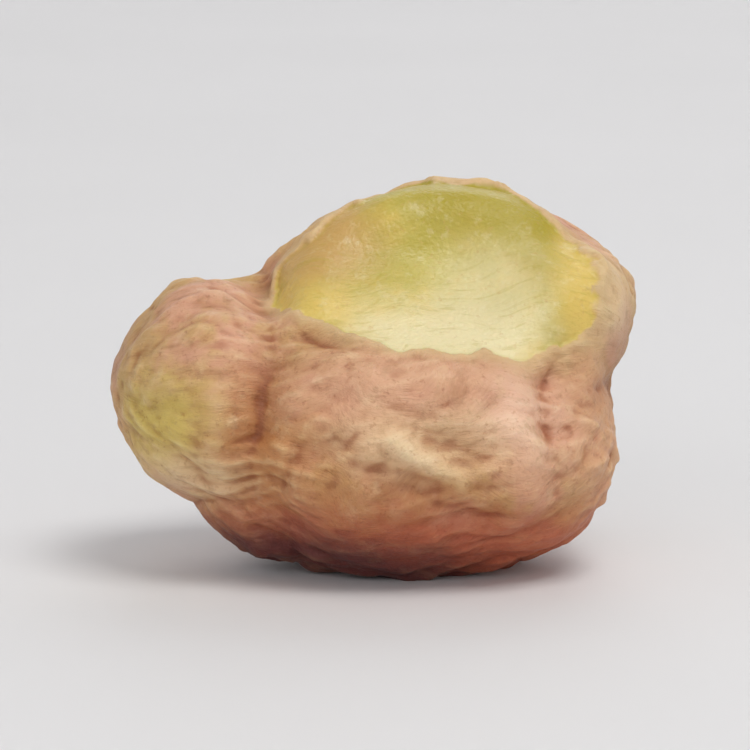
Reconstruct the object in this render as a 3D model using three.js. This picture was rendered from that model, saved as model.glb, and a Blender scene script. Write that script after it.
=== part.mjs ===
// A shelled pistachio kernel in its dried seed skin, lying on the flank that settled flat.
// Millimetres, +Z up. +X runs from the narrow tip to the blunt end, and -Y is the flank whose
// upper part has sunk into a hollow. The origin is at the middle of the underside.
import * as THREE from "three";
import { mergeVertices } from "three/addons/utils/BufferGeometryUtils.js";

// Driving dimensions: every lobe, hollow and crease below is a share of these three.
const LENGTH = 14.2;
const WIDTH = 9.8;
const HEIGHT = 10.4;

// The surface is an icosahedron's faces, each split into FACE_SPLITS + 1 rows of triangles.
// Corners closer than MERGE_GAP, on a ball of radius 1, are one corner.
const FACE_SPLITS = 16;
const MERGE_GAP = 1e-5;

// How softly the lobes run into each other, and how round the lip of the hollow is.
const LOBE_BLEND = 0.13 * HEIGHT;
const LIP_ROUNDING = 0.075 * HEIGHT;

// How finely a crease's line is followed, and how often the search for the surface halves its gap.
const CREASE_SAMPLES = 28;
const SEARCH_STEPS = 36;

// Dried seed skin: a dull pinkish tan.
const SKIN = { color: 0xc0906c, roughness: 0.6, metalness: 0 };

const X_AXIS = new THREE.Vector3(1, 0, 0);

// A place given as shares of the length, width and height. x and y count from the middle,
// and z from the surface that the kernel lies on.
const place = (x, y, z) => new THREE.Vector3(x * LENGTH, y * WIDTH, z * HEIGHT);

// The point inside from which every part of the surface is in plain sight.
const HEART = place(0.04, 0.03, 0.42);

// The kernel grew as one body, with these swellings. Radii are shares in the same way.
const LOBES = {
  belly: { centre: place(0.03, -0.01, 0.395), radii: place(0.385, 0.49, 0.43) },
  tip: { centre: place(-0.275, -0.03, 0.49), radii: place(0.225, 0.4, 0.3) },
  crown: { centre: place(0.135, 0.1, 0.69), radii: place(0.35, 0.39, 0.34) },
  heel: { centre: place(0.265, -0.06, 0.34), radii: place(0.17, 0.38, 0.255) },
};

// The hollow is the dent left by an ellipsoid laid on the upper front. Its axis leans forward
// from upright by the angle below.
const HOLLOW = {
  centre: place(0.12, -0.37, 0.97),
  radii: new THREE.Vector3(0.385 * LENGTH, 0.42 * WIDTH, 0.285 * HEIGHT),
  lean: THREE.MathUtils.degToRad(45),
};

// Creases where the drying flesh folded, each along a smooth line from its top to its bottom.
const CREASES = {
  tipFold: {
    depth: 0.045 * HEIGHT,
    width: 0.085 * HEIGHT,
    line: [
      place(-0.25, -0.1, 0.8),
      place(-0.22, -0.37, 0.62),
      place(-0.25, -0.42, 0.42),
      place(-0.2, -0.34, 0.15),
    ],
  },
  heelFold: {
    depth: 0.035 * HEIGHT,
    width: 0.08 * HEIGHT,
    line: [place(0.37, -0.34, 0.56), place(0.34, -0.42, 0.4), place(0.33, -0.36, 0.18)],
  },
};

// Distance to an ellipsoid's surface from a point given from its centre: below zero inside, and
// close to true near the surface. The centre itself has no nearest point, so it is stepped off.
function ellipsoidField(offset, radii) {
  const scaled = offset.clone().divide(radii);
  const reach = Math.max(scaled.length(), Number.EPSILON);
  const steepness = Math.max(scaled.divide(radii).length(), Number.EPSILON);
  return (reach * (reach - 1)) / steepness;
}

// The smaller of two fields, with the corner between them rounded over the width of the blend.
function smoothMin(a, b, blend) {
  const near = Math.max(blend - Math.abs(a - b), 0) / blend;
  return Math.min(a, b) - (near * near * blend) / 4;
}

const smoothMax = (a, b, blend) => -smoothMin(-a, -b, blend);

function bodyField(point) {
  return Object.values(LOBES)
    .map((lobe) => ellipsoidField(point.clone().sub(lobe.centre), lobe.radii))
    .reduce((a, b) => smoothMin(a, b, LOBE_BLEND));
}

function hollowField(point) {
  const offset = point.clone().sub(HOLLOW.centre).applyAxisAngle(X_AXIS, -HOLLOW.lean);
  return ellipsoidField(offset, HOLLOW.radii);
}

const creases = Object.values(CREASES).map(({ depth, width, line }) => {
  const samples = new THREE.CatmullRomCurve3(line).getSpacedPoints(CREASE_SAMPLES);
  return { depth, width, samples };
});

// How far the creases push the surface in. Each one fades away from its line as a bell curve does.
function creaseDepth(point) {
  return creases.reduce((total, { depth, width, samples }) => {
    const gap = Math.min(...samples.map((sample) => sample.distanceTo(point)));
    return total + depth * Math.exp(-((gap / width) ** 2));
  }, 0);
}

// Below zero inside the kernel. The plane z = 0 cuts the flat spot that it rests on.
function kernelField(point) {
  const dented = smoothMax(bodyField(point), -hollowField(point), LIP_ROUNDING);
  return Math.max(dented + creaseDepth(point), -point.z);
}

// The place where the surface is met in one direction from the heart.
function surfacePoint(direction) {
  let inside = 0;
  let outside = LENGTH;
  for (let step = 0; step < SEARCH_STEPS; step += 1) {
    const middle = (inside + outside) / 2;
    const probe = HEART.clone().addScaledVector(direction, middle);
    if (kernelField(probe) < 0) inside = middle;
    else outside = middle;
  }
  return HEART.clone().addScaledVector(direction, inside);
}

// A closed ball of even triangles, with one vertex at each corner.
function closedBall() {
  const ball = new THREE.IcosahedronGeometry(1, FACE_SPLITS);
  ball.deleteAttribute("normal");
  ball.deleteAttribute("uv");
  return mergeVertices(ball, MERGE_GAP);
}

// Brings the outside to exactly LENGTH x WIDTH x HEIGHT, standing on the middle of its underside.
function fitToSize(geometry) {
  geometry.computeBoundingBox();
  const box = geometry.boundingBox;
  const size = box.getSize(new THREE.Vector3());
  const middle = box.getCenter(new THREE.Vector3());
  geometry.translate(-middle.x, -middle.y, -box.min.z);
  geometry.scale(LENGTH / size.x, WIDTH / size.y, HEIGHT / size.z);
  geometry.computeVertexNormals();
  return geometry;
}

// The ball with each vertex moved out to the kernel's surface, and set truly flat underneath.
function kernelGeometry() {
  const geometry = closedBall();
  const position = geometry.getAttribute("position");
  const direction = new THREE.Vector3();
  for (let i = 0; i < position.count; i += 1) {
    direction.fromBufferAttribute(position, i).normalize();
    const point = surfacePoint(direction);
    position.setXYZ(i, point.x, point.y, Math.max(point.z, 0));
  }
  return fitToSize(geometry);
}

function makeKernel() {
  const kernel = new THREE.Mesh(kernelGeometry(), new THREE.MeshStandardMaterial(SKIN));
  kernel.name = "kernel";
  return kernel;
}

const pistachio = new THREE.Group();
pistachio.add(makeKernel());

export default pistachio;
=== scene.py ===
"""A shelled pistachio kernel in its dried seed skin, on a pale table.

The kernel is one closed mesh laid over the CAD solid: folds, wrinkles and the torn edge of the
skin are real shape, and colour comes from shader nodes. Lengths are in millimetres inside the
shaping code, and in metres everywhere that Blender sees them.
"""

import itertools
import math
from functools import partial

import bpy
import numpy as np
from bpy.props import FloatProperty, FloatVectorProperty, IntProperty, PointerProperty
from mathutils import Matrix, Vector
from mathutils.bvhtree import BVHTree


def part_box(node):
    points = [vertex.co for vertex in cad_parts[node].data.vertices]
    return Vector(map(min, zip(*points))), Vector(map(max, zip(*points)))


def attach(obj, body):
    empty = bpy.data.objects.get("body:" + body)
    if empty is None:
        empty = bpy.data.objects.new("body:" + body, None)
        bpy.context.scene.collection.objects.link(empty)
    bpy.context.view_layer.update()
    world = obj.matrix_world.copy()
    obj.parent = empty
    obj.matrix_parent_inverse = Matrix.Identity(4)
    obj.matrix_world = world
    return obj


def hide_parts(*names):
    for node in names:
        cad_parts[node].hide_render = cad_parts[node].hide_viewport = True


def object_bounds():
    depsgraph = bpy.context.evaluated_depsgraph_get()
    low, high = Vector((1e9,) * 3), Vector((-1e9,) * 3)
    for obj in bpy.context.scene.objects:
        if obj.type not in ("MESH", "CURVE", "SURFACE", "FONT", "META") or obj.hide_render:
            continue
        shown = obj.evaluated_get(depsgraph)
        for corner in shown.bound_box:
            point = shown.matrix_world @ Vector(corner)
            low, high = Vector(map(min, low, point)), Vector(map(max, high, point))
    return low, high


bl_info = {
    "name": "Pistachio kernel",
    "version": (1, 0, 0),
    "blender": (4, 5, 0),
    "location": "View3D > Sidebar > Pistachio",
    "description": "Builds a shelled pistachio kernel in its wrinkled seed skin, and a table for it",
    "category": "Add Mesh",
}

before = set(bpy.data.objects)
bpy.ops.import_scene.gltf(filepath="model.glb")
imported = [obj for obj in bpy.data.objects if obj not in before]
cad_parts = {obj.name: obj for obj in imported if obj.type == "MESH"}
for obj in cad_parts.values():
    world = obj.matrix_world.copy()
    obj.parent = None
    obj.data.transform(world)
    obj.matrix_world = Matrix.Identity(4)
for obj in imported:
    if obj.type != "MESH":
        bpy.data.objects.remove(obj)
CAD_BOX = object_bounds()

MM = 0.001
LOW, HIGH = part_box("kernel")
LENGTH, WIDTH, HEIGHT = (HIGH - LOW) / MM


def place(x, y, z):
    """A place given as shares of the kernel's length, width and height, as the CAD part does."""
    return np.array([x * LENGTH, y * WIDTH, z * HEIGHT])


# The point inside from which the whole surface is in plain sight.
HEART = place(0.04, 0.03, 0.42)

# The line that the kernel grew along, from its narrow tip to its blunt end.
TIP = place(-0.5, -0.03, 0.49)
BLUNT_END = place(0.5, 0.02, 0.57)

# The skin is missing over the hollow. Its edge is seen along the hollow's own axis: the first
# number is a share of the length, to the right, and the second of the height, up the slope.
HOLLOW_HEART = place(0, 0, 0.5)
HOLLOW_LEAN = math.radians(45)
BARE_EDGE = [
    (-0.2, 0.1),
    (-0.14, 0.25),
    (-0.045, 0.375),
    (0.06, 0.455),
    (0.22, 0.445),
    (0.33, 0.37),
    (0.395, 0.26),
    (0.405, 0.08),
    (0.37, -0.06),
    (0.31, -0.115),
    (0.18, -0.15),
    (0.05, -0.135),
    (-0.06, -0.085),
    (-0.15, 0.0),
]

# Folds in the skin. Each is a smooth line traced on one side of the kernel: the side, the rise and
# the half width in millimetres, and places given as shares of the two sizes that are seen from
# there. A crease has a rise below zero.
FOLDS = {
    "rim_crease": ("front", -0.42, 0.34, [
        (-0.25, 0.78), (-0.21, 0.73), (-0.15, 0.69), (-0.09, 0.64), (0, 0.61),
    ]),
    "tip_crease_top": ("top", -0.4, 0.4, [
        (-0.25, 0.33), (-0.235, 0.12), (-0.225, -0.06), (-0.2, -0.24),
    ]),
    "tip_crease": ("front", -0.42, 0.34, [
        (-0.21, 0.74), (-0.2, 0.66), (-0.2, 0.56), (-0.23, 0.38), (-0.22, 0.19),
    ]),
    "heel_crease": ("front", -0.4, 0.3, [
        (0.36, 0.65), (0.335, 0.54), (0.335, 0.43), (0.335, 0.32), (0.32, 0.22),
    ]),
    "belly_ridge": ("front", 0.3, 0.36, [
        (-0.03, 0.45), (0.05, 0.41), (0.12, 0.36), (0.21, 0.31),
    ]),
    "belly_ridge_right": ("front", 0.26, 0.34, [
        (0.14, 0.5), (0.22, 0.46), (0.285, 0.4), (0.3, 0.33),
    ]),
    "belly_crease": ("front", -0.26, 0.3, [
        (-0.08, 0.37), (0.04, 0.31), (0.15, 0.24), (0.28, 0.24),
    ]),
    "belly_dent": ("front", -0.12, 0.34, [(0.06, 0.5), (0.15, 0.43), (0.22, 0.37)]),
    "tip_under_fold": ("front", -0.2, 0.25, [(-0.44, 0.44), (-0.36, 0.32), (-0.28, 0.21)]),
    "lip": ("front", 0.2, 0.42, [(-0.09, 0.6), (0.06, 0.575), (0.2, 0.565), (0.31, 0.585)]),
    "right_rim": ("front", 0.14, 0.4, [(0.4, 0.87), (0.44, 0.78), (0.445, 0.68), (0.41, 0.6)]),
    "waist": ("right", -0.36, 0.5, [(-0.4, 0.56), (-0.18, 0.49), (0.08, 0.46), (0.34, 0.5)]),
    "seam": ("back", -0.34, 0.36, [
        (-0.47, 0.5), (-0.3, 0.6), (-0.08, 0.66), (0.16, 0.64), (0.34, 0.55), (0.46, 0.4),
    ]),
    "back_ridge": ("back", 0.24, 0.45, [(-0.3, 0.44), (-0.1, 0.48), (0.14, 0.42), (0.3, 0.3)]),
    "back_crease": ("back", -0.3, 0.34, [(-0.28, 0.36), (-0.04, 0.34), (0.2, 0.22)]),
}

# Broad swellings and dents, told in the same way.
SWELLS = {
    "tip_corner": ("top", 0.25, 0.9, [(-0.43, 0.0), (-0.38, 0.0), (-0.33, 0.0)]),
    "tip_ridge": ("front", 0.18, 0.4, [(-0.31, 0.56), (-0.32, 0.42), (-0.3, 0.27)]),
    "shoulder": ("top", -0.6, 1.1, [(0.32, -0.12), (0.39, 0.03), (0.37, 0.25)]),
    "crown_dent": ("top", -0.22, 0.6, [(-0.12, 0.26), (0.06, 0.32), (0.24, 0.28)]),
    "left_of_base": ("under", 0.5, 0.9, [(-0.34, -0.16), (-0.26, -0.12), (-0.17, -0.1)]),
    "back_swell": ("back", 0.2, 1.4, [(-0.1, 0.5), (0.1, 0.4)]),
}

# How round the bottom of a crease is, and how far apart the samples of a fold's line are, in
# millimetres. Then how fast the two sides fall away: a ridge is round and a crease is pointed.
FOLD_ROUNDING = 0.05
RIDGE_SHARPNESS = 2.0
CREASE_SHARPNESS = 1.2

# Lumps and the skin's ragged edge are layers of noise: the strength and the size, in millimetres.
LUMPS = [(0.16, 3.6), (0.12, 1.9)]
RAGGED_EDGE = [(0.3, 1.1), (0.12, 0.42), (0.05, 0.18)]

# How wide, in millimetres, the step from skin to bare flesh is on each side of the edge, how far
# back from it the lifted lip stands, and how wide the lip is.
EDGE_SOFTNESS = 0.07
LIP_SETBACK = 0.1
LIP_WIDTH = 0.12

# Lines on the skin stray from their course. The size and the reach are in millimetres, and the
# flow's stray is a share of a turn's radius.
STRAY_SIZE = 1.9
FOLD_STRAY = 0.3
FLOW_STRAY = 0.13

# Wrinkles in trains of waves: how far apart they are in millimetres, how much longer than wide a
# train is, and how far its direction strays. TRAINS_PER_PLACE of them overlap at each place.
LARGE_WRINKLES = (1.15, 2.0, 0.35)
SMALL_WRINKLES = (0.46, 2.2, 0.3)
TRAINS_PER_PLACE = 14
TRAIN_REACH = 2.2
PITCH_SPREAD = (0.8, 1.25)

# The mean height of each kind of wrinkle, from 0 to 1, which is where the smooth skin lies.
WAVE_MEAN = 0.64
LARGE_MEAN = 0.62
SMALL_MEAN = 0.38
CRUMPLE_MEAN = 0.3

# The crumpled ground under the wrinkles: its strength, its size in millimetres, and how much
# smaller and weaker each finer level is.
CRUMPLE_STRENGTH = 0.8
CRUMPLE_SIZE = 2.2
CRUMPLE_STEP = 2.03
CRUMPLE_FALLOFF = 0.42

# How much the deepest furrows are held back, so that crossings don't turn into pits.
FURROW_LIMIT = 1.6

# Faint strokes on the bare flesh: how fine they are across the flow, and how high in millimetres.
STROKE_FINENESS = 12.0
STROKE_HEIGHT = 0.03

# How fast the flow's coordinates change along the kernel. The lower it is, the longer the streaks.
FLOW_LENGTH = 0.36

# How many rounds of smoothing make the mean that a furrow is measured from.
FURROW_ROUNDS = 14
FINE_FURROW_ROUNDS = 5


# --- Shape: small tools ---------------------------------------------------------------------


class Noise:
    """Smooth noise in space, about -1 to 1, with features about one unit across."""

    def __init__(self, seed):
        random = np.random.default_rng(seed)
        self.order = random.permutation(256)
        slopes = random.normal(size=(256, 3))
        self.slopes = slopes / np.linalg.norm(slopes, axis=1, keepdims=True)

    def __call__(self, points):
        cell = np.floor(points).astype(int)
        inside = points - cell
        ease = inside**3 * (inside * (inside * 6 - 15) + 10)
        total = np.zeros(len(points))
        for corner in itertools.product((0, 1), repeat=3):
            key = np.zeros(len(points), int)
            for axis in range(3):
                key = self.order[(key + cell[:, axis] + corner[axis]) & 255]
            weight = np.prod(np.where(corner, ease, 1 - ease), axis=1)
            total += weight * (self.slopes[key] * (inside - corner)).sum(1)
        return total * 1.7


def smooth_step(values, start, end):
    """0 before start, 1 after end, and an even S between them. start may be the larger one."""
    share = np.clip((values - start) / (end - start), 0, 1)
    return share * share * (3 - 2 * share)


def smooth_line(points, samples, closed=False):
    """Points along a Catmull-Rom curve through the given ones."""
    points = np.array(points, float)
    if closed:
        points = np.concatenate([points[-1:], points, points[:2]])
    else:
        before, after = 2 * points[:1] - points[1:2], 2 * points[-1:] - points[-2:-1]
        points = np.concatenate([before, points, after])
    spans = len(points) - 3
    steps = np.linspace(0, spans, samples, endpoint=not closed)
    span = np.minimum(steps.astype(int), spans - 1)
    t = (steps - span)[:, None]
    a, b, c, d = (points[span + k] for k in range(4))
    curve = 2 * b + (c - a) * t + (2 * a - 5 * b + 4 * c - d) * t**2 + (3 * b - a - 3 * c + d) * t**3
    return 0.5 * curve


def nearest_on(line, points, block=20000):
    """How far each point is from a line of close samples, and which sample is nearest."""
    gaps, picks = [], []
    for start in range(0, len(points), block):
        part = points[start : start + block]
        squares = (part**2).sum(1)[:, None] + (line**2).sum(1)[None] - 2 * part @ line.T
        pick = squares.argmin(1)
        picks.append(pick)
        gaps.append(np.linalg.norm(part - line[pick], axis=1))
    return np.concatenate(gaps), np.concatenate(picks)


def quad_ball(splits):
    """Directions and quads of a cube blown up into a ball, each side split in both ways."""
    steps = np.tan(np.linspace(-math.pi / 4, math.pi / 4, splits + 1))
    a, b = np.meshgrid(steps, steps, indexing="ij")
    one = np.ones_like(a)
    sides = [(one, a, b), (-one, b, a), (b, one, a), (a, -one, b), (a, b, one), (b, a, -one)]
    points = np.concatenate([np.stack(side, -1).reshape(-1, 3) for side in sides])
    row = splits + 1
    corner = (np.arange(splits)[:, None] * row + np.arange(splits)[None]).reshape(-1, 1)
    quad = corner + np.array([0, row, row + 1, 1])
    quads = np.concatenate([quad + side * row * row for side in range(len(sides))])
    keys = np.round(points * 1e6).astype(int)
    _, first, index = np.unique(keys, axis=0, return_index=True, return_inverse=True)
    return points[first], index.reshape(-1)[quads]


class Net:
    """A closed mesh of quads: who is next to whom, and which way the surface faces."""

    def __init__(self, quads, count):
        self.quads, self.count = quads, count
        self.tail, self.head = np.concatenate([quads[:, [k, (k + 1) % 4]] for k in range(4)]).T
        self.degree = np.bincount(self.tail, minlength=count)

    def gather(self, index, values):
        """The sum, at each vertex, of the values filed under it."""
        columns = (np.bincount(index, column, minlength=self.count) for column in values.T)
        return np.stack(list(columns), 1)

    def smooth(self, values, rounds, strength=0.5):
        for _ in range(rounds):
            mean = self.gather(self.tail, values[self.head]) / self.degree[:, None]
            values = values + strength * (mean - values)
        return values

    def normals(self, points):
        a, b, c, d = (points[self.quads[:, k]] for k in range(4))
        facing = np.cross(c - a, d - b)
        total = self.gather(self.quads.reshape(-1), np.repeat(facing, 4, axis=0))
        return total / np.linalg.norm(total, axis=1, keepdims=True)


# --- Shape: the kernel ----------------------------------------------------------------------


def cad_tree():
    """The CAD kernel's surface, in millimetres, ready for rays."""
    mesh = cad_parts["kernel"].data
    corners = [vertex.co / MM for vertex in mesh.vertices]
    return BVHTree.FromPolygons(corners, [tuple(face.vertices) for face in mesh.polygons])


def cast_ball(tree, splits):
    """An even net of quads on the CAD surface, as points and quads."""
    directions, quads = quad_ball(splits)
    directions = directions * (LENGTH, WIDTH, HEIGHT)
    heart = Vector(HEART)
    points = np.array([tree.ray_cast(heart, Vector(way))[0] for way in directions])
    return points, quads


SIDES = {
    "front": ((0, -1, 0), lambda a, b: place(a, 0, b)),
    "back": ((0, 1, 0), lambda a, b: place(a, 0, b)),
    "top": ((0, 0, 1), lambda a, b: place(a, b, 0)),
    "right": ((1, 0, 0), lambda a, b: place(0, a, b)),
    "under": ((0, 0, -1), lambda a, b: place(a, b, 0)),
}


def trace(tree, side, line, rays=80):
    """A fold's line, laid on the CAD surface from the side that it is seen from, in even steps."""
    outward, to_place = SIDES[side]
    hits = []
    for a, b in smooth_line(line, rays):
        start = Vector(to_place(a, b)) + Vector(outward) * 2 * LENGTH
        hit = tree.ray_cast(start, -Vector(outward))[0]
        if hit is not None:
            hits.append(hit)
    laid = np.array(hits)
    reached = np.concatenate([[0], np.cumsum(np.linalg.norm(np.diff(laid, axis=0), axis=1))])
    steps = np.arange(0, reached[-1], FOLD_ROUNDING)
    return np.stack([np.interp(steps, reached, laid[:, axis]) for axis in range(3)], 1)


def fold_shares(points, line, width, sharpness):
    """How much of a fold's rise each point gets: all of it on its line, and none well away from it."""
    gap, pick = nearest_on(line, points)
    fade = np.sin(math.pi * (pick + 0.5) / len(line)) ** 0.6
    rounded_gap = np.sqrt(gap**2 + FOLD_ROUNDING**2)
    return fade * np.exp(-math.log(2) * (rounded_gap / width) ** sharpness)


def fold_heights(tree, points, wander, strength):
    """How far the folds and swellings lift or sink each point, and how deep in a crease or high on
    a ridge it is."""
    height, crease, ridge = (np.zeros(len(points)) for _ in range(3))
    strayed = points + wander
    for side, rise, width, line in FOLDS.values():
        sharpness = RIDGE_SHARPNESS if rise > 0 else CREASE_SHARPNESS
        share = strength * fold_shares(strayed, trace(tree, side, line), width, sharpness)
        height += rise * share
        if rise > 0:
            ridge = np.maximum(ridge, share)
        else:
            crease = np.maximum(crease, share)
    for side, rise, width, line in SWELLS.values():
        height += rise * fold_shares(strayed, trace(tree, side, line), width, RIDGE_SHARPNESS)
    return height, crease, ridge


def bare_distance(points):
    """How far each point is inside the bare patch, in millimetres, and below zero on the skin."""
    up_slope = np.array([0, math.sin(HOLLOW_LEAN), math.cos(HOLLOW_LEAN)])
    outward = np.array([0, -math.cos(HOLLOW_LEAN), math.sin(HOLLOW_LEAN)])
    offset = points - HOLLOW_HEART
    flat = np.stack([offset[:, 0], offset @ up_slope], 1)
    edge = smooth_line(BARE_EDGE, 240, closed=True) * (LENGTH, HEIGHT)
    gap, _ = nearest_on(edge, flat)
    after = np.roll(edge, -1, axis=0)
    crossings = np.zeros(len(flat), int)
    for (x0, y0), (x1, y1) in zip(edge, after):
        spans = (y0 > flat[:, 1]) != (y1 > flat[:, 1])
        at = x0 + (flat[:, 1] - y0) * (x1 - x0) / ((y1 - y0) or 1)
        crossings += spans & (flat[:, 0] < at)
    signed = np.where(crossings % 2 == 1, gap, -gap)
    return np.minimum(signed, offset @ outward - 0.08 * HEIGHT)


def flow_of(points, stray):
    """Where each point lies on the skin as it grew: round the kernel, and along it."""
    along = BLUNT_END - TIP
    along = along / np.linalg.norm(along)
    offset = points - (TIP + BLUNT_END) / 2
    reach = offset @ along
    across = offset - reach[:, None] * along
    radius = np.linalg.norm(across, axis=1)
    turn = np.arctan2(across[:, 2], across[:, 1])
    slope = np.arctan2(reach, radius)
    return np.stack([np.cos(turn), np.sin(turn), slope * FLOW_LENGTH], 1) + stray


def layered(points, noises, layers):
    """Noises of several strengths and sizes, added up."""
    return sum(strength * noise(points / size) for noise, (strength, size) in zip(noises, layers))


def crumple(points, noises, rounding=0.0025):
    """Sharp valleys between rounded swellings, with smaller ones on the sides of the larger."""
    total, fineness, weight, norm = np.zeros(len(points)), 1.0, 1.0, 0.0
    for noise in noises:
        total += weight * np.sqrt(noise(points * fineness) ** 2 + rounding)
        norm += weight
        fineness, weight = fineness * CRUMPLE_STEP, weight * CRUMPLE_FALLOFF
    return total / norm


def skin_waves(points, normals, spacing, stretch, wobble, seed, rounding=0.01):
    """Wrinkles that run along the kernel, fork and fade: 0 in their sharp furrows, 1 on round crests.

    Many small trains of waves are laid at random places, each with its own phase, and added up.
    Only the phase of the sum is kept, so the wrinkles stay about as deep everywhere.
    """
    random = np.random.default_rng(seed)
    along_axis = (BLUNT_END - TIP) / np.linalg.norm(BLUNT_END - TIP)
    order = np.argsort(points[:, 0])
    lined_up = points[order]
    reach = TRAIN_REACH * spacing * stretch
    kernel_area = 4 * math.pi * (LENGTH * WIDTH + WIDTH * HEIGHT + HEIGHT * LENGTH) / 12
    train_area = math.pi * spacing**2 * stretch
    trains = int(TRAINS_PER_PLACE * kernel_area / train_area)
    total = np.zeros(len(points), complex)
    for pick in random.integers(len(points), size=trains):
        centre, facing = points[pick], normals[pick]
        along = along_axis + random.normal(0, wobble, 3)
        along -= facing * (along @ facing)
        along /= np.linalg.norm(along)
        pitch = spacing * random.uniform(*PITCH_SPREAD)
        start_phase = random.uniform(0, 2 * math.pi)
        first, last = np.searchsorted(lined_up[:, 0], (centre[0] - reach, centre[0] + reach))
        offset = lined_up[first:last] - centre
        near = (offset**2).sum(1) < reach**2
        offset = offset[near]
        forward, sideways = offset @ along / (spacing * stretch), offset @ np.cross(facing, along)
        weight = np.exp(-(forward**2) - (sideways / spacing) ** 2 - (offset @ facing / spacing) ** 2)
        wave = weight * np.exp(1j * (2 * math.pi * sideways / pitch + start_phase))
        total[order[first:last][near]] += wave
    crest = np.sqrt(np.cos(np.angle(total) / 2) ** 2 + rounding)
    size = np.abs(total)
    sure = 1 - np.exp(-2 * (size / size.mean()) ** 2)
    return WAVE_MEAN + sure * (crest - WAVE_MEAN)


def skin_wrinkles(points, normals, slack, noises, seed):
    """Long wrinkles, finer ones between them and a crumpled ground, strongest in slack skin."""
    large = skin_waves(points, normals, *LARGE_WRINKLES, seed)
    small = 1 - skin_waves(points, normals, *SMALL_WRINKLES, seed + 1)
    wrinkles = (0.2 + 0.8 * slack) * (large - LARGE_MEAN) + (0.1 + 0.2 * slack) * (small - SMALL_MEAN)
    wrinkles += CRUMPLE_STRENGTH * (crumple(points / CRUMPLE_SIZE, noises) - CRUMPLE_MEAN)
    return np.where(wrinkles < 0, wrinkles / (1 - FURROW_LIMIT * wrinkles), wrinkles)


def relief(net, height, rounds):
    """How far each point stands over the mean of the skin around it."""
    return height - net.smooth(height[:, None], rounds)[:, 0]


def shape_kernel(shape):
    """The finished kernel: points in millimetres, quads, and the masks that its colours need."""
    tree = cad_tree()
    points, quads = cast_ball(tree, shape.splits)
    net = Net(quads, len(points))
    points = net.smooth(points, shape.rounding)
    normals = net.normals(points)
    noises = [Noise(shape.seed + k) for k in range(14)]
    crumple_noises, strength_noise, stray_noises = noises[:3], noises[3], noises[4:7]
    edge_noises, slack_noise, lip_noise, lump_noises = noises[7:10], noises[10], noises[11], noises[12:]

    stray = np.stack([noise(points / STRAY_SIZE) for noise in stray_noises], 1)
    flow = flow_of(points, FLOW_STRAY * stray)
    strength = 0.75 + 0.6 * strength_noise(points / 1.5)
    folds, crease, ridge = fold_heights(tree, points, FOLD_STRAY * stray, strength)
    bare = bare_distance(points) + layered(points, edge_noises, RAGGED_EDGE)
    skin = smooth_step(bare, EDGE_SOFTNESS, -EDGE_SOFTNESS)
    lifted = smooth_step(lip_noise(points / 1.3), -0.2, 0.6)
    lip = np.exp(-(((bare + LIP_SETBACK) / LIP_WIDTH) ** 2)) * lifted
    slack = smooth_step(slack_noise(points / 2.6), -0.55, 0.45)
    wrinkles = skin_wrinkles(points, normals, slack, crumple_noises, shape.seed)
    strokes = np.abs(crumple_noises[-1](flow * STROKE_FINENESS))

    height = layered(points, lump_noises, LUMPS) + folds
    height += skin * (shape.skin_thickness / MM + shape.wrinkle_depth / MM * wrinkles)
    height += skin * lip * shape.edge_curl / MM
    height += (1 - skin) * STROKE_HEIGHT * strokes
    height = net.smooth(height[:, None], 1)[:, 0]
    points = fit_to_cad(points + normals * height[:, None])
    masks = {"bare": bare, "crease": crease, "ridge": ridge, "flow": flow}
    masks["furrow"] = relief(net, height, FURROW_ROUNDS)
    masks["fine_furrow"] = relief(net, height, FINE_FURROW_ROUNDS)
    return points, quads, masks


def fit_to_cad(points):
    """The points brought to the CAD box's size, pressed flat where they would sink into the table."""
    points = np.maximum(points, (-np.inf, -np.inf, 0))
    low, high = points.min(0), points.max(0)
    target_low, target_high = np.array(LOW) / MM, np.array(HIGH) / MM
    return target_low + (points - low) * (target_high - target_low) / (high - low)


def make_mesh(name, points, quads, masks):
    """A smooth-shaded mesh in metres that carries the masks as attributes on its points."""
    mesh = bpy.data.meshes.new(name)
    mesh.from_pydata((points * MM).tolist(), [], quads.tolist())
    for key, values in masks.items():
        kind, field = ("FLOAT", "value") if values.ndim == 1 else ("FLOAT_VECTOR", "vector")
        data = mesh.attributes.new(key, kind, "POINT").data
        data.foreach_set(field, values.astype(np.float32).reshape(-1))
    mesh.shade_smooth()
    return mesh


# --- Shader nodes: small tools --------------------------------------------------------------


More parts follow.
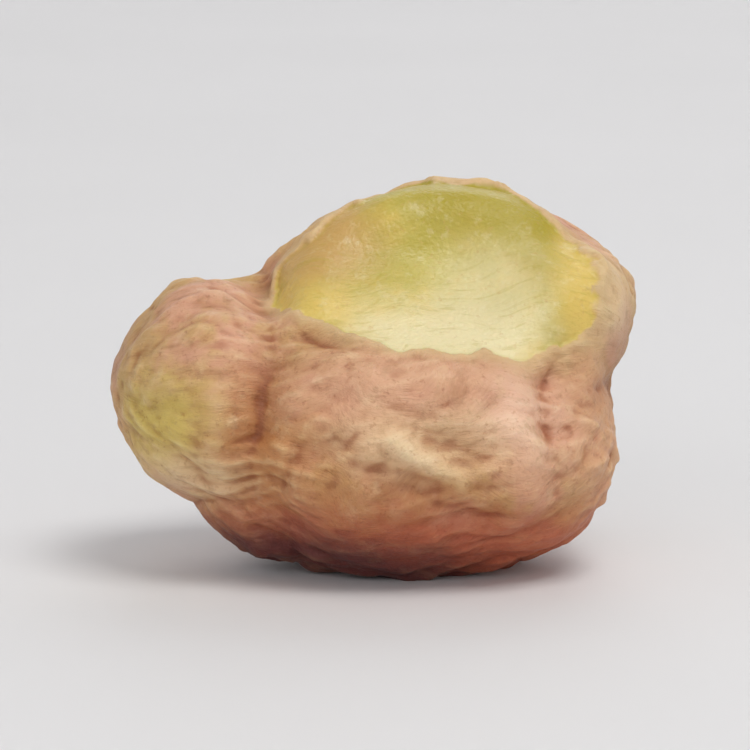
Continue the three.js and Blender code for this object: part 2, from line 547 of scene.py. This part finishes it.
class Tree:
    """Adds nodes to a shader tree. An input is a number, a colour or another node's output."""

    def __init__(self, tree):
        self.tree = tree

    def add(self, kind, inputs=None, **settings):
        node = self.tree.nodes.new(kind)
        for name, value in settings.items():
            setattr(node, name, value)
        for key, value in (inputs or {}).items():
            self.plug(node.inputs[key], value)
        return node

    def plug(self, socket, value):
        if isinstance(value, bpy.types.NodeSocket):
            self.tree.links.new(value, socket)
        else:
            socket.default_value = value

    def math(self, operation, a, b=0.0):
        return self.add("ShaderNodeMath", {0: a, 1: b}, operation=operation).outputs[0]

    def vector(self, operation, a, b=(0, 0, 0)):
        return self.add("ShaderNodeVectorMath", {0: a, 1: b}, operation=operation).outputs[0]

    def length(self, a):
        return self.add("ShaderNodeVectorMath", {0: a}, operation="LENGTH").outputs["Value"]

    def mix(self, factor, a, b, blend="MIX"):
        node = self.add("ShaderNodeMix", {0: factor, 6: a, 7: b}, data_type="RGBA", blend_type=blend)
        return node.outputs[2]

    def step(self, value, start, end, low=0.0, high=1.0):
        inputs = {"Value": value, 1: start, 2: end, 3: low, 4: high}
        return self.add("ShaderNodeMapRange", inputs, interpolation_type="SMOOTHSTEP").outputs[0]

    def noise(self, vector, scale, detail=3.0, roughness=0.55):
        inputs = {"Vector": vector, "Scale": scale, "Detail": detail, "Roughness": roughness}
        return self.add("ShaderNodeTexNoise", inputs).outputs[0]

    def mask(self, name):
        return self.add("ShaderNodeAttribute", attribute_name=name).outputs["Fac"]

    def use(self, group, **inputs):
        """Places a node group. Spaces in its sockets' names are underscores here."""
        node = self.add("ShaderNodeGroup", node_tree=group)
        for name, value in inputs.items():
            self.plug(node.inputs[name.replace("_", " ")], value)
        return node.outputs[0]


SOCKETS = {"float": "NodeSocketFloat", "vector": "NodeSocketVector", "colour": "NodeSocketColor"}


def new_group(name, inputs, output):
    """An empty node group with named sockets, as the group, a Tree in it, its input and its output."""
    group = bpy.data.node_groups.new(name, "ShaderNodeTree")
    for socket, (kind, value) in inputs.items():
        made = group.interface.new_socket(socket, in_out="INPUT", socket_type=SOCKETS[kind])
        made.default_value = value
    group.interface.new_socket(output[0], in_out="OUTPUT", socket_type=SOCKETS[output[1]])
    tree = Tree(group)
    given = tree.add("NodeGroupInput").outputs
    taken = tree.add("NodeGroupOutput").inputs
    return group, tree, given, taken


def mottle_group():
    """Soft blotches: a mask that rises where the noise passes from Low to High."""
    inputs = {
        "Position": ("vector", (0, 0, 0)),
        "Scale": ("float", 1.0),
        "Low": ("float", 0.45),
        "High": ("float", 0.6),
    }
    group, tree, given, taken = new_group("mottle", inputs, ("Mask", "float"))
    noise = tree.noise(given["Position"], given["Scale"], detail=4.0, roughness=0.62)
    tree.plug(taken[0], tree.step(noise, given["Low"], given["High"]))
    return group


def patch_group():
    """One place on the kernel: a mask that fades out from Centre over Radius, with ragged edges."""
    inputs = {
        "Position": ("vector", (0, 0, 0)),
        "Centre": ("vector", (0, 0, 0)),
        "Radius": ("vector", (1, 1, 1)),
        "Ragged": ("float", 0.5),
        "Soft": ("float", 0.5),
    }
    group, tree, given, taken = new_group("patch", inputs, ("Mask", "float"))
    offset = tree.vector("SUBTRACT", given["Position"], given["Centre"])
    offset = tree.vector("DIVIDE", offset, given["Radius"])
    noise = tree.math("SUBTRACT", tree.noise(given["Position"], 0.9, detail=6.0, roughness=0.66), 0.5)
    reach = tree.math("ADD", tree.length(offset), tree.math("MULTIPLY", noise, given["Ragged"]))
    start = tree.math("ADD", 1.0, given["Soft"])
    end = tree.math("SUBTRACT", 1.0, given["Soft"])
    tree.plug(taken[0], tree.step(reach, start, end))
    return group


def new_material(name):
    """A material with only a Principled BSDF: the material, a Tree in it and the shader node."""
    material = bpy.data.materials.new(name)
    material.use_nodes = True
    shader = material.node_tree.nodes["Principled BSDF"]
    return material, Tree(material.node_tree), shader


def millimetres(tree):
    """The place on the object, in millimetres, so that a noise's scale is in features per mm."""
    place_node = tree.add("ShaderNodeTexCoord").outputs["Object"]
    return tree.vector("MULTIPLY", place_node, (1 / MM, 1 / MM, 1 / MM))


# --- Shader nodes: the kernel ---------------------------------------------------------------


# Patches of colour, one over the other: the colour, how strong it is, the centre and the reach as
# shares of the kernel's length, width and height, and how ragged and how soft the edge is.
SKIN_PATCHES = [
    ("pink", 0.9, (0.13, -0.45, 0.52), (0.34, 0.3, 0.15), 0.6, 0.5),
    # Painted highlight: the peach patch lightens the belly's right ridge.
    ("peach_and_highlight", 0.9, (0.28, -0.4, 0.43), (0.08, 0.25, 0.13), 0.8, 0.6),
    ("orange_brown", 0.85, (-0.23, -0.4, 0.34), (0.1, 0.3, 0.22), 0.8, 0.6),
    ("orange_brown", 0.6, (0.0, -0.4, 0.32), (0.3, 0.3, 0.12), 0.9, 0.6),
    ("straw_green", 0.9, (-0.39, -0.3, 0.42), (0.09, 0.3, 0.13), 1.2, 0.6),
    ("straw_and_highlight", 0.7, (-0.34, -0.3, 0.28), (0.09, 0.3, 0.08), 1.0, 0.6),
    ("pink", 0.6, (0.42, -0.2, 0.4), (0.1, 0.4, 0.2), 0.8, 0.6),
    # Painted highlight: this straw patch lightens the belly ridge.
    ("straw_and_highlight", 0.7, (0.08, -0.42, 0.4), (0.13, 0.25, 0.075), 0.9, 0.7),
    # Painted light: this straw patch lightens the upper right rim, which faces the key lamp.
    ("straw_and_highlight", 0.75, (0.46, -0.2, 0.74), (0.08, 0.3, 0.14), 0.9, 0.6),
]
DARK_PATCHES = [
    # Painted shade: the red-brown patch darkens the underside, and the maroon one below it darkens the
    # base's left. Both lie over skin that is red there.
    ("red_brown_and_under_shade", 0.92, (0.06, -0.05, -0.04), (0.52, 1.0, 0.29), 0.6, 0.3),
    ("maroon_and_base_shade", 0.85, (-0.12, -0.15, -0.02), (0.34, 0.7, 0.17), 0.8, 0.4),
    ("maroon_and_base_shade", 0.85, (-0.02, 0.5, 0.42), (0.36, 0.34, 0.32), 1.5, 0.25),
    ("plum", 0.7, (0.02, 0.5, 0.4), (0.26, 0.3, 0.22), 3.6, 0.45),
    ("straw_green", 0.6, (-0.3, 0.4, 0.72), (0.16, 0.3, 0.16), 1.2, 0.5),
    ("maroon_and_base_shade", 0.6, (0.5, 0.3, 0.36), (0.1, 0.24, 0.2), 1.5, 0.4),
]
FLESH_PATCHES = [
    # Painted shade: the olive patches darken the hollow's upper wall, which faces down.
    ("olive_and_painted_shade", 0.95, (0.24, 0.1, 0.98), (0.22, 0.35, 0.14), 0.7, 0.5),
    ("olive_and_painted_shade", 0.85, (0.31, 0.0, 0.86), (0.06, 0.4, 0.1), 0.7, 0.5),
    ("olive_and_painted_shade", 0.6, (0.34, -0.2, 0.7), (0.04, 0.4, 0.1), 0.7, 0.5),
    ("olive_and_painted_shade", 0.5, (-0.02, 0.05, 0.82), (0.1, 0.3, 0.12), 0.9, 0.6),
    # Painted light: the cream patches lighten the hollow's foot, which faces up.
    ("cream_and_painted_light", 0.95, (0.12, -0.32, 0.62), (0.2, 0.25, 0.12), 0.6, 0.6),
    ("cream_and_painted_light", 0.6, (0.22, -0.2, 0.74), (0.1, 0.3, 0.12), 0.6, 0.6),
    ("amber", 0.9, (-0.13, 0.0, 0.86), (0.13, 0.3, 0.13), 0.8, 0.5),
    ("yellow", 0.8, (-0.13, -0.2, 0.7), (0.08, 0.3, 0.06), 0.7, 0.6),
    ("yellow", 0.9, (0.41, -0.1, 0.78), (0.07, 0.4, 0.2), 0.6, 0.5),
]

# How far back from its torn edge the skin is thin, in millimetres.
THIN_SKIN_REACH = 0.9

# The glossiest that the skin and the flesh get, and how deep the relief is that is too fine for
# the mesh.
SKIN_ROUGHNESS = 0.4
FLESH_ROUGHNESS = 0.32
BUMP_DEPTH = 0.06 * MM


def mottle(tree, groups, position, scale, low, high):
    """A mask of soft blotches: how many to a millimetre, and where in the noise they start and end."""
    return tree.use(groups["mottle"], Position=position, Scale=scale, Low=low, High=high)


def over(tree, colour, top, mask, strength, blend="MIX"):
    """The colour with another one laid over it where the mask is, at the given strength."""
    return tree.mix(tree.math("MULTIPLY", mask, strength), colour, top[:], blend)


def with_patches(tree, groups, colours, place_mm, colour, patches):
    """The colour with a table's patches laid over it, in their order."""
    for name, strength, centre, reach, ragged, soft in patches:
        centre_mm, reach_mm = tuple(place(*centre)), tuple(place(*reach))
        mask = tree.use(
            groups["patch"],
            Position=place_mm,
            Centre=centre_mm,
            Radius=reach_mm,
            Ragged=ragged,
            Soft=soft,
        )
        colour = over(tree, colour, getattr(colours, name), mask, strength)
    return colour


def skin_colour(tree, groups, colours, place_mm, flow, crinkles):
    """Dried seed skin: tan and pink, maroon where the sun reached, brown in the furrows that is partly
    painted shade, painted shade in the creases and under the kernel, and painted highlights on the
    crests and ridges.
    """
    blotches, streaks = partial(mottle, tree, groups, place_mm), partial(mottle, tree, groups, flow)
    furrow, fine_furrow = tree.mask("furrow"), tree.mask("fine_furrow")
    shade, pale_and_highlight = colours.furrow_brown_and_shade, colours.crest_pale_and_highlight

    colour = tree.mix(blotches(0.42, 0.42, 0.6), colours.tan[:], colours.pink[:])
    colour = with_patches(tree, groups, colours, place_mm, colour, SKIN_PATCHES)

    colour = over(tree, colour, colours.brown, streaks(7.0, 0.54, 0.72), 0.4)
    colour = over(tree, colour, colours.straw_and_highlight, blotches(1.5, 0.54, 0.7), 0.3)
    colour = over(tree, colour, colours.brown, blotches(2.6, 0.56, 0.68), 0.3)

    # Painted highlight: the fold ridges and the crests of the relief are lightened, partly also the
    # paler worn skin on them.
    colour = over(tree, colour, pale_and_highlight, tree.mask("ridge"), 0.45, "SCREEN")
    colour = over(tree, colour, pale_and_highlight, tree.step(furrow, 0.0, 0.08), 0.45, "SCREEN")
    colour = over(tree, colour, pale_and_highlight, tree.step(fine_furrow, 0.0, 0.018), 0.4, "SCREEN")
    colour = with_patches(tree, groups, colours, place_mm, colour, DARK_PATCHES)
    # Painted highlight on the crests once more, over the dark patches. The pale streaks after it are
    # the skin's own.
    colour = over(tree, colour, pale_and_highlight, tree.step(furrow, 0.0, 0.07), 0.26, "SCREEN")
    colour = over(tree, colour, pale_and_highlight, streaks(9.0, 0.48, 0.66), 0.2, "SCREEN")
    # Painted shade: the creases are darkened.
    crease = tree.math("POWER", tree.mask("crease"), 1.6)
    colour = over(tree, colour, shade, crease, 0.55, "MULTIPLY")
    # The furrows and the crinkles' valleys are darkened, partly with the skin's own brown and partly as
    # painted shade.
    colour = over(tree, colour, shade, tree.step(furrow, 0.01, -0.09), 0.5, "MULTIPLY")
    colour = over(tree, colour, shade, tree.step(fine_furrow, 0.0, -0.021), 0.7, "MULTIPLY")
    colour = over(tree, colour, shade, tree.step(crinkles, 0.03, 0.0), 0.12, "MULTIPLY")
    return over(tree, colour, shade, blotches(6.5, 0.56, 0.72), 0.45, "MULTIPLY")


def flesh_colour(tree, groups, colours, place_mm, flow):
    """Bare seed leaf in the hollow: waxy yellow-green, with painted shade in olive up the slope and in
    the furrows, and painted light in cream at its foot.
    """
    blotches, streaks = partial(mottle, tree, groups, place_mm), partial(mottle, tree, groups, flow)

    colour = tree.mix(blotches(0.5, 0.4, 0.65), colours.green[:], colours.yellow[:])
    colour = with_patches(tree, groups, colours, place_mm, colour, FLESH_PATCHES)
    colour = over(tree, colour, colours.olive_and_painted_shade, streaks(15.0, 0.52, 0.68), 0.3)
    colour = over(tree, colour, colours.cream_and_painted_light, blotches(2.2, 0.56, 0.7), 0.25)
    # Painted shade: the flesh's furrows are darkened with olive.
    colour = over(tree, colour, colours.olive_and_painted_shade, tree.step(tree.mask("furrow"), 0.0, -0.06), 0.3)
    return over(tree, colour, colours.amber, blotches(4.5, 0.6, 0.7), 0.3)


def kernel_material(groups, colours):
    """Matt seed skin and waxy bare flesh in one material, split along the skin's torn edge."""
    material, tree, shader = new_material("seed_skin_and_flesh")
    place_mm = millimetres(tree)
    flow = tree.add("ShaderNodeAttribute", attribute_name="flow").outputs["Vector"]
    bare = tree.mask("bare")
    crinkles = tree.math("SUBTRACT", tree.noise(flow, 15.0, detail=5.0, roughness=0.66), 0.5)
    crinkles = tree.math("ABSOLUTE", crinkles)
    skin = skin_colour(tree, groups, colours, place_mm, flow, crinkles)
    flesh = flesh_colour(tree, groups, colours, place_mm, flow)

    thin = tree.math("POWER", tree.step(bare, -THIN_SKIN_REACH, 0.0), 2.0)
    skin = over(tree, skin, colours.thin_skin, thin, 0.75)
    opened = tree.step(bare, -0.04, 0.05)
    tree.plug(shader.inputs["Base Color"], tree.mix(opened, skin, flesh))

    worn = mottle(tree, groups, place_mm, 1.4, 0.35, 0.7)
    skin_rough = tree.math("ADD", SKIN_ROUGHNESS, tree.math("MULTIPLY", worn, 0.16))
    flesh_rough = tree.math("ADD", FLESH_ROUGHNESS, tree.math("MULTIPLY", worn, 0.12))
    rough = tree.add("ShaderNodeMix", {0: opened, 2: skin_rough, 3: flesh_rough}, data_type="FLOAT")
    tree.plug(shader.inputs["Roughness"], rough.outputs[0])

    fibres = tree.noise(flow, 55.0, detail=3.0)
    grain = tree.noise(place_mm, 7.0, detail=4.0)
    cells = tree.add("ShaderNodeTexVoronoi", {"Vector": place_mm, "Scale": 9.0}, feature="SMOOTH_F1")
    crinkles = tree.math("MULTIPLY", crinkles, tree.step(opened, 1.0, 0.0, low=0.2, high=1.0))
    height = 0.0
    for layer, share in ((fibres, 0.4), (grain, 0.5), (cells.outputs[0], 0.3), (crinkles, 3.2)):
        height = tree.math("ADD", height, tree.math("MULTIPLY", layer, share))
    bump = tree.add("ShaderNodeBump", {"Height": height, "Strength": 0.7, "Distance": BUMP_DEPTH})
    tree.plug(shader.inputs["Normal"], bump.outputs[0])

    shader.inputs["Specular IOR Level"].default_value = 0.45
    shader.inputs["Subsurface Weight"].default_value = 0.12
    shader.inputs["Subsurface Radius"].default_value = (1.0, 0.5, 0.2)
    shader.inputs["Subsurface Scale"].default_value = 0.4 * MM
    return material


# --- Settings -------------------------------------------------------------------------------


def colour_property(name, description, value):
    return FloatVectorProperty(
        name=name,
        description=description,
        default=(*value, 1.0),
        size=4,
        min=0.0,
        max=1.0,
        subtype="COLOR",
    )


def length_property(name, description, value):
    return FloatProperty(
        name=name, description=description, default=value, min=0.0, subtype="DISTANCE", unit="LENGTH"
    )


class KernelShape(bpy.types.PropertyGroup):
    """Sizes of the kernel's surface detail."""

    splits: IntProperty(
        name="Splits", description="Quads along each edge of the net", default=128, min=16, max=256
    )
    rounding: IntProperty(
        name="Rounding", description="Rounds of smoothing over the CAD's facets", default=45, min=0
    )
    seed: IntProperty(name="Seed", description="Which wrinkles grow", default=11, min=0)
    skin_thickness: length_property(
        "Skin thickness", "How far the skin stands over the bare flesh", 0.12 * MM
    )
    wrinkle_depth: length_property("Wrinkle depth", "How deep the skin's wrinkles are", 0.31 * MM)
    edge_curl: length_property("Edge curl", "How far the torn edge of the skin lifts", 0.14 * MM)


class KernelColours(bpy.types.PropertyGroup):
    """Colours of the seed skin and of the flesh that it leaves bare."""

    tan: colour_property("Tan", "The skin's main colour", (0.62, 0.37, 0.15))
    pink: colour_property("Pink", "Flushed skin on the belly", (0.69, 0.36, 0.22))
    # Pale flushed skin, laid as a painted highlight on the belly's right ridge.
    peach_and_highlight: colour_property("Peach", "Pale flushed skin", (0.87, 0.56, 0.39))
    orange_brown: colour_property("Orange brown", "Skin around the folds", (0.54, 0.24, 0.08))
    brown: colour_property("Brown", "Furrows and streaks", (0.36, 0.16, 0.06))
    # Brown for the furrows, creases and darker freckles: partly the skin's own colour and partly
    # painted shade.
    furrow_brown_and_shade: colour_property(
        "Furrow shade", "Darkens the furrows of the skin", (0.6, 0.37, 0.25)
    )
    # Lightens the crests and ridges, partly as paler worn skin and partly as a painted highlight. It
    # also lays pale streaks.
    crest_pale_and_highlight: colour_property("Crest glow", "Lightens the crests of the skin", (0.3, 0.2, 0.1))
    # Pale skin. It is also a painted highlight on the belly ridge and painted light on the upper right
    # rim.
    straw_and_highlight: colour_property("Straw", "Pale skin on top of the folds", (0.84, 0.62, 0.36))
    straw_green: colour_property(
        "Straw green", "Thin skin with the flesh showing through", (0.69, 0.52, 0.12)
    )
    # Red skin underneath, laid dark as painted shade on the underside.
    red_brown_and_under_shade: colour_property("Red brown", "Skin underneath", (0.44, 0.09, 0.032))
    # Maroon skin on the back. The same colour is also painted shade at the base's left.
    maroon_and_base_shade: colour_property("Maroon", "Skin on the sunny side", (0.075, 0.014, 0.02))
    plum: colour_property("Plum", "Lighter blotches in the maroon skin", (0.32, 0.1, 0.09))
    green: colour_property("Green", "Bare flesh", (0.56, 0.47, 0.1))
    yellow: colour_property("Yellow", "Bare flesh near the rim", (0.74, 0.53, 0.13))
    # Olive streaks in the flesh. The same colour is also painted shade on the hollow's upper wall and
    # in the flesh's furrows.
    olive_and_painted_shade: colour_property("Olive", "Bare flesh up the slope", (0.42, 0.33, 0.025))
    # Cream blotches in the flesh. The same colour is also painted light on the hollow's upturned foot.
    cream_and_painted_light: colour_property("Cream", "Bare flesh at the foot of the hollow", (0.82, 0.72, 0.42))
    amber: colour_property("Amber", "Bare flesh at the tip's end of the hollow", (0.57, 0.34, 0.11))
    thin_skin: colour_property(
        "Thin skin", "Skin at the torn edge, with the flesh showing through", (0.68, 0.48, 0.24)
    )


class Studio(bpy.types.PropertyGroup):
    """The table, the light and the camera."""

    table_radius: length_property("Table radius", "How far the level part of the table reaches", 0.22)
    wall_radius: length_property("Wall radius", "Radius of the sweep from table to wall", 0.2)
    wall_height: length_property("Wall height", "How high the wall goes", 0.5)
    table_colour: colour_property("Table", "Pale grey table and wall", (0.74, 0.735, 0.74))
    elevation: FloatProperty(
        name="Elevation",
        description="How far above level the camera is",
        default=math.radians(10),
        subtype="ANGLE",
    )
    lens: FloatProperty(
        name="Lens", description="Focal length in millimetres", default=200.0, subtype="DISTANCE_CAMERA"
    )


# --- Operators ------------------------------------------------------------------------------


class PISTACHIO_OT_kernel(bpy.types.Operator):
    """Make the kernel, with its wrinkled skin and the bare hollow."""

    bl_idname = "pistachio.kernel"
    bl_label = "Kernel"

    def execute(self, context):
        scene = context.scene
        points, quads, masks = shape_kernel(scene.pistachio_shape)
        mesh = make_mesh("kernel_in_skin", points, quads, masks)
        kernel = bpy.data.objects.new("kernel_in_skin", mesh)
        scene.collection.objects.link(kernel)
        groups = {"mottle": mottle_group(), "patch": patch_group()}
        kernel.data.materials.append(kernel_material(groups, scene.pistachio_colours))
        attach(kernel, "root")
        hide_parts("kernel")
        return {"FINISHED"}


def make_table(studio, segments=96, arc_steps=16):
    """A round table top that sweeps up into a wall, made by turning its profile."""
    sweep = np.linspace(-math.pi / 2, 0, arc_steps)
    level, bend, wall = studio.table_radius, studio.wall_radius, studio.wall_height
    radius = [level / 4, level / 2, *(level + bend * np.cos(sweep)), level + bend]
    height = [0.0, 0.0, *(bend + bend * np.sin(sweep)), wall]
    turn = np.linspace(0, 2 * math.pi, segments, endpoint=False)
    circle = np.stack([np.cos(turn), np.sin(turn), np.zeros(segments)], 1)
    rings = [r * circle + (0, 0, z) for r, z in zip(radius, height)]
    points = np.concatenate([[(0, 0, 0)], *rings])
    step = np.arange(segments)
    after = (step + 1) % segments
    faces = [(0, 1 + a, 1 + b) for a, b in zip(step, after)]
    for ring in range(len(rings) - 1):
        inner, outer = 1 + ring * segments, 1 + (ring + 1) * segments
        faces += [(inner + a, outer + a, outer + b, inner + b) for a, b in zip(step, after)]
    mesh = bpy.data.meshes.new("table")
    mesh.from_pydata(points.tolist(), [], [tuple(int(k) for k in face) for face in faces])
    mesh.shade_smooth()
    return bpy.data.objects.new("table", mesh)


def table_material(studio):
    """Smooth pale paint, very slightly uneven in tone and gloss."""
    material, tree, shader = new_material("table_paint")
    place_mm = millimetres(tree)
    cloud = tree.noise(place_mm, 0.03, detail=3.0)
    shade = tree.step(cloud, 0.2, 0.8, 0.985, 1.015)
    grey = tree.add("ShaderNodeCombineColor", {0: shade, 1: shade, 2: shade}).outputs[0]
    tree.plug(shader.inputs["Base Color"], tree.mix(1.0, studio.table_colour[:], grey, "MULTIPLY"))
    tree.plug(shader.inputs["Roughness"], tree.step(cloud, 0.2, 0.8, 0.6, 0.68))
    shader.inputs["Specular IOR Level"].default_value = 0.3
    return material


# The lamps: where each is and how wide it is, in metres, its power in watts and its colour.
LAMPS = {
    "key": ((0.13, -0.14, 0.4), 0.2, 0.93, (1.0, 0.985, 0.96)),
    "fill": ((-0.12, -0.36, 0.14), 0.26, 0.35, (0.97, 0.98, 1.0)),
    "rear": ((0.05, 0.32, 0.28), 0.25, 0.3, (1.0, 1.0, 1.0)),
}
SKY_COLOUR = (0.95, 0.97, 1.0, 1.0)
SKY_STRENGTH = 0.38

# The width of the camera's sensor in millimetres, and how many times the kernel's radius it sees.
SENSOR_WIDTH = 36.0
FARTHEST = 200


def add_softbox(name, where, size, power, colour):
    """A square lamp, turned to face the kernel."""
    lamp = bpy.data.lights.new(name, "AREA")
    lamp.shape, lamp.size, lamp.energy, lamp.color = "SQUARE", size, power, colour
    holder = bpy.data.objects.new(name, lamp)
    holder.location = where
    holder.rotation_euler = (-Vector(where)).to_track_quat("-Z", "Y").to_euler()
    bpy.context.scene.collection.objects.link(holder)


def add_camera(studio):
    """The camera in front, looking down a little, far enough back that the kernel fills the frame."""
    camera = bpy.data.cameras.new("camera")
    camera.lens, camera.sensor_width = studio.lens, SENSOR_WIDTH
    low, high = CAD_BOX
    centre, radius = (low + high) / 2, (high - low).length / 2
    back = Vector((0, -math.cos(studio.elevation), math.sin(studio.elevation)))
    half_angle = math.atan(camera.sensor_width / 2 / camera.lens)
    camera.clip_start, camera.clip_end = radius, radius * FARTHEST
    holder = bpy.data.objects.new("camera", camera)
    holder.location = centre + back * radius / math.sin(half_angle)
    holder.rotation_mode = "QUATERNION"
    holder.rotation_quaternion = (-back).to_track_quat("-Z", "Y")
    bpy.context.scene.collection.objects.link(holder)
    bpy.context.scene.camera = holder


class PISTACHIO_OT_studio(bpy.types.Operator):
    """Make the pale table, the soft light and the camera."""

    bl_idname = "pistachio.studio"
    bl_label = "Table, light and camera"

    def execute(self, context):
        scene, studio = context.scene, context.scene.pistachio_studio
        table = make_table(studio)
        scene.collection.objects.link(table)
        table.data.materials.append(table_material(studio))
        for name, (where, size, power, colour) in LAMPS.items():
            add_softbox(name, where, size, power, colour)
        scene.world = bpy.data.worlds.new("sky")
        scene.world.use_nodes = True
        background = scene.world.node_tree.nodes["Background"]
        background.inputs["Color"].default_value = SKY_COLOUR
        background.inputs["Strength"].default_value = SKY_STRENGTH
        scene.view_settings.view_transform = "Standard"
        add_camera(studio)
        return {"FINISHED"}


class PISTACHIO_PT_panel(bpy.types.Panel):
    """The pieces, in the order that they are made."""

    bl_label = "Pistachio kernel"
    bl_idname = "PISTACHIO_PT_panel"
    bl_space_type = "VIEW_3D"
    bl_region_type = "UI"
    bl_category = "Pistachio"

    def draw(self, context):
        for operator, settings in PIECES:
            box = self.layout.box()
            box.operator(operator)
            for name in settings:
                group = getattr(context.scene, name)
                for key in group.bl_rna.properties.keys():
                    if key not in {"rna_type", "name"}:
                        box.prop(group, key)


PIECES = [
    ("pistachio.studio", ["pistachio_studio"]),
    ("pistachio.kernel", ["pistachio_shape", "pistachio_colours"]),
]
SETTINGS = {
    "pistachio_shape": KernelShape,
    "pistachio_colours": KernelColours,
    "pistachio_studio": Studio,
}
CLASSES = (*SETTINGS.values(), PISTACHIO_OT_kernel, PISTACHIO_OT_studio, PISTACHIO_PT_panel)


def register():
    for item in CLASSES:
        bpy.utils.register_class(item)
    for name, settings in SETTINGS.items():
        setattr(bpy.types.Scene, name, PointerProperty(type=settings))


def unregister():
    for name in SETTINGS:
        delattr(bpy.types.Scene, name)
    for item in reversed(CLASSES):
        bpy.utils.unregister_class(item)


def main():
    register()
    bpy.ops.pistachio.studio()
    bpy.ops.pistachio.kernel()


if __name__ == "__main__":
    main()
